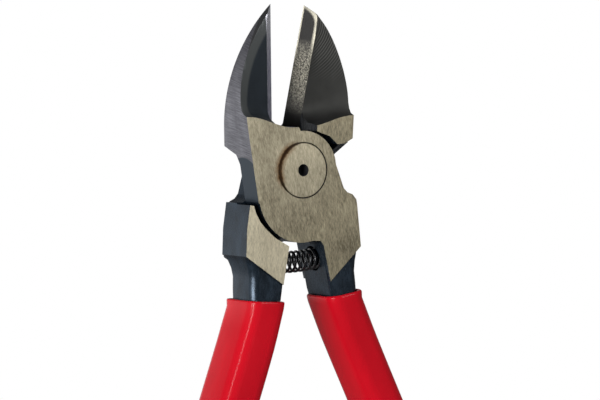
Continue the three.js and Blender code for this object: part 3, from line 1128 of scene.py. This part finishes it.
@dataclass
class Sleeve:
    """A dipped vinyl sleeve on one handle, with a rounded rim and a domed end."""

    node: str
    body: str
    side: int
    finish: Material
    section: Section
    flare: float
    wall: float = 0.6
    lip: float = 0.10
    lip_height: float = 1.0
    rim_drop: float = 0.5  # of the rim below the CAD sleeve's highest corner
    first_cut: float = 1.4  # below that corner
    last_cut: float = 1.2  # above the dome
    dome: float = 2.2
    stations: int = 44
    round_steps: int = 8
    settle: float = 9.0  # length over which the rim's tilt dies away
    flare_length: float = 18.0

    def build(self) -> None:
        """Sweep the sleeve from the bottom of its bore, over the rim and down to its end."""
        line = self._middle_line()
        mesh = bmesh.new()
        first = ring = self.section.start(mesh)
        for number, (grow, point, tangent) in enumerate(self._rings(line)):
            if number:
                ring = extrude_ring(mesh, ring)
            put_ring(ring, self.section.points(grow), self._place(point, tangent))
        bmesh.ops.contextual_create(mesh, geom=edges_between(first))
        bmesh.ops.contextual_create(mesh, geom=edges_between(ring))
        bmesh.ops.scale(mesh, vec=(MM, MM, MM), verts=mesh.verts)
        bmesh.ops.recalc_face_normals(mesh, faces=mesh.faces)
        smooth_faces(mesh)
        piece = as_piece(f"{self.node}_sleeve", mesh, [self.finish])
        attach(piece, self.body)
        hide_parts(self.node)

    def _rings(self, line: list[tuple[Vector, Vector]]) -> list[tuple[float, Vector, Vector]]:
        """List the rings of the sweep.

        Args:
            line: Points down the middle of the sleeve, with the way down at each.

        Returns:
            For each ring, how far the section is grown, its middle and the way down.
        """
        inside = [(-self.wall, *station) for station in reversed(line[:-2])]
        top, down = line[0]
        lip = self.flare + self.lip
        middle = (lip - self.wall) / 2
        half = middle + self.wall
        over = []
        for step in range(1, self.round_steps):
            angle = math.pi * step / self.round_steps
            rise = half * math.sin(angle)
            over.append((middle - half * math.cos(angle), top - down * rise, down))
        foot = self.lip_height
        bead = [(lip, top, down), (self._taper(foot), top + down * foot, down)]
        outside = [(self._taper((top - point).length), point, way) for point, way in line[2:]]
        end, way = line[-1]
        closing = []
        for step in range(1, self.round_steps):
            angle = math.pi / 2 * step / self.round_steps
            grow = self.dome * (math.cos(angle) - 1)
            closing.append((grow, end + way * self.dome * math.sin(angle), way))
        return inside + over + bead + outside + closing

    def _taper(self, below: float) -> float:
        """Return how far the outside is grown at a distance below the rim."""
        return self.flare * max(0.0, 1 - below / self.flare_length) ** 2

    def _middle_line(self) -> list[tuple[Vector, Vector]]:
        """Find the middle of the CAD sleeve at level cuts from its rim to its end.

        Returns:
            Points in millimetres, from the top, with the way down at each.
        """
        low, high = (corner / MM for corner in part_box(self.node))
        top = high.z - self.first_cut
        bottom = low.z + self.dome + self.last_cut
        points = []
        for number in range(self.stations + 1):
            height = top + (bottom - top) * number / self.stations
            points.append(self._middle_at(height, (low.y + high.y) / 2))
        upwards = (points[0] - points[1]).normalized()
        points[0] += upwards * (self.first_cut - self.rim_drop - self.lip)
        ways = [(b - a).normalized() for a, b in zip(points, points[1:])]
        level = Vector((math.sin(self.side * HALF_OPENING), 0, -math.cos(HALF_OPENING)))
        line = []
        for number, point in enumerate(points):
            way = (ways[max(number - 1, 0)] + ways[min(number, len(ways) - 1)]).normalized()
            share = max(0.0, 1 - (points[0] - point).length / self.settle)
            line.append((point, way.lerp(level, share).normalized()))
        return line

    def _middle_at(self, height: float, y: float) -> Vector:
        """Cut the CAD sleeve level and find the middle of the cut, in millimetres.

        Args:
            height: Height of the cut.
            y: Place of the sleeve's middle along Y.

        Returns:
            The middle.
        """
        cut = bmesh.new()
        cut.from_mesh(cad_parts[self.node].data)
        made = bmesh.ops.bisect_plane(
            cut, geom=[*cut.verts, *cut.edges, *cut.faces], dist=0.0,
            plane_co=(0, 0, height * MM), plane_no=(0, 0, 1),
        )
        across = [v.co.x / MM for v in made["geom_cut"] if isinstance(v, BMVert)]
        cut.free()
        return Vector(((min(across) + max(across)) / 2, y, height))

    @staticmethod
    def _place(point: Vector, way: Vector) -> Matrix:
        """Return the place of a section whose middle and downward way are these."""
        back = Vector((0, 1, 0))
        return standing(point, back.cross(-way).normalized(), back, -way)


# ---- Studio ----


@dataclass
class SoftBox:
    """One oblong area light, with its width and height."""

    name: str
    place: Vector
    size: tuple[float, float]
    power: float

    def build(self, target: Vector) -> None:
        """Hang the light.

        Args:
            target: The point that it faces.
        """
        data = bpy.data.lights.new(self.name, "AREA")
        data.shape = "RECTANGLE"
        data.size, data.size_y = self.size
        data.energy = self.power
        light = bpy.data.objects.new(self.name, data)
        light.location = self.place
        light.rotation_euler = (target - self.place).to_track_quat("-Z", "Y").to_euler()
        bpy.context.scene.collection.objects.link(light)


@dataclass
class Studio:
    """Pale floor, soft light and the camera."""

    floor_size: float = 40.0
    swing: float = 6.5 * MM  # room for a grip that swings below the open tool
    bright_side: float = 1.0
    dim_side: float = 0.13
    bright_way: tuple[float, float] = (-0.6, 0.8)  # X and Y of the way to the bright side
    bright_from: float = 0.45
    bright_below: float = 0.22
    azimuth: float = math.radians(32.2)
    elevation: float = math.radians(4.56)
    roll: float = math.radians(-2.65)
    distance: float = 0.70
    lens: float = 237.1
    target: Vector = field(default_factory=lambda: Vector((-0.94, -8.90, -5.21)) * MM)

    def build(self) -> None:
        """Build the floor, the lights and the camera."""
        self._floor()
        self._world()
        for box in (
            SoftBox("key_light", Vector((-0.95, -0.33, -0.12)), (0.45, 0.45), 13.0),
            SoftBox("tall_light", Vector((-0.80, -0.56, -0.10)), (0.12, 1.1), 5.4),
            SoftBox("front_light", Vector((0.45, -0.95, 0.35)), (0.5, 0.5), 4.2),
        ):
            box.build(self.target)
        self._camera()
        bpy.context.scene.view_settings.view_transform = "Standard"

    def _floor(self) -> None:
        """Lay the plain floor under the tool."""
        mesh = bmesh.new()
        bmesh.ops.create_grid(mesh, x_segments=1, y_segments=1, size=self.floor_size / 2)
        bmesh.ops.translate(mesh, verts=mesh.verts, vec=(0, 0, CAD_BOX[0][2] - self.swing))
        material = bpy.data.materials.new("pale_floor")
        nodes = Nodes(material)
        place = nodes.out(nodes.node("ShaderNodeTexCoord"), "Object")
        self._white_backing(nodes, place, "ShaderNodeEmission", "ShaderNodeOutputMaterial")
        as_piece("floor", mesh, [material])

    def _world(self) -> None:
        """Fill the studio with plain soft light."""
        world = bpy.data.worlds.new("studio")
        nodes = Nodes(world)
        place = nodes.out(nodes.node("ShaderNodeTexCoord"), "Generated")
        self._white_backing(nodes, place, "ShaderNodeBackground", "ShaderNodeOutputWorld")
        bpy.context.scene.world = world

    def _white_backing(self, nodes: Nodes, place: Signal, light: str, output: str) -> None:
        """Make a backing that looks white, and lights the tool mostly from behind its left.

        Args:
            nodes: The node tree.
            place: Places on the backing, or directions to it.
            light: Type of the node that gives the light.
            output: Type of the output node.
        """
        axes = nodes.node("ShaderNodeSeparateXYZ", inputs={"Vector": place})
        left, back = self.bright_way
        behind = nodes.out(axes, "Y") * back + nodes.out(axes, "X") * left
        low = nodes.out(axes, "Z").under(self.bright_below, 0.36)
        share = behind.over(self.bright_from, 0.6) * low
        lit = share * (self.bright_side - self.dim_side) + self.dim_side
        seen = nodes.out(nodes.node("ShaderNodeLightPath"), "Is Camera Ray")
        inputs = {"Color": (1, 1, 1, 1), "Strength": lit.larger(seen)}
        glow = nodes.node(light, inputs=inputs)
        nodes.node(output, inputs={"Surface": nodes.out(glow)})

    def _camera(self) -> None:
        """Set the camera on the tool's front, from its left and slightly above."""
        level = math.cos(self.elevation)
        way = Vector((
            level * math.sin(self.azimuth), level * math.cos(self.azimuth), -math.sin(self.elevation),
        ))
        data = bpy.data.cameras.new("camera")
        data.lens = self.lens
        data.clip_end = 100.0
        camera = bpy.data.objects.new("camera", data)
        aim = way.to_track_quat("-Z", "Y").to_matrix()
        turned = aim @ Matrix.Rotation(self.roll, 3, "Z")
        camera.matrix_world = Matrix.Translation(self.target - way * self.distance) @ turned.to_4x4()
        bpy.context.scene.collection.objects.link(camera)
        bpy.context.scene.camera = camera


# ---- The tool ----


@dataclass
class Pliers:
    """The whole tool."""

    front: str = "front_half"
    rear: str = "rear_half"

    def build(self) -> None:
        """Build every piece in order."""
        # painted pools of light on the ground steel: the plate's at its upper left, the rear lever's,
        # stronger, at its handle root
        plate = GroundSteel()
        root = GroundSteel(lightest_at=(-9.0, -12.0), fades_over=12.0, glow=0.85)
        for name, body, side, ground, hollow, edge in (
            ("front", self.front, -1, plate, LeftHollow(), LilacEdge()),
            ("rear", self.rear, 1, root, RightHollow(), CutEdge()),
        ):
            turn = -side * HALF_OPENING
            finishes = {
                Region.FORGED: ForgedSteel().material(f"{name}_forged_steel", turn, side),
                Region.GROUND: ground.material(f"{name}_ground_steel", turn, side),
                Region.FLANK: MilledFlank().material(f"{name}_milled_flank", turn, side),
                Region.HOLLOW: hollow.material(f"{name}_jaw_hollow", turn, side),
                Region.EDGE: edge.material(f"{name}_cutting_edge", turn, side),
            }
            Lever(f"{name}_lever", body, side, finishes).build()
        # painted pool of light near the middle of the rivet head
        head = GroundSteel(lightest_at=(-1.0, 1.0), glow=0.4)
        finishes = [
            head.material("rivet_steel", HALF_OPENING, -1), DarkHole().material("centre_mark"),
        ]
        Rivet("pivot_rivet", self.front, finishes).build()
        ReturnSpring("return_spring", (self.rear, self.front), SpringWire().material("wire")).build()
        for name, body, side, section, flare in (
            ("front", self.front, 1, Section(7.1, 9.9, 2.3), 0.12),
            ("rear", self.rear, -1, Section(7.7, 10.5, 2.3), -0.1),
        ):
            vinyl = DippedVinyl().material(f"{name}_dipped_vinyl", side * HALF_OPENING)
            Sleeve(f"{name}_grip", body, side, vinyl, section, flare).build()


def main() -> None:
    """Build the studio and the tool."""
    logging.basicConfig(level=logging.INFO, format="%(name)s: %(message)s")
    Studio().build()
    Pliers().build()
    bpy.context.view_layer.update()


if __name__ == "__main__":
    main()
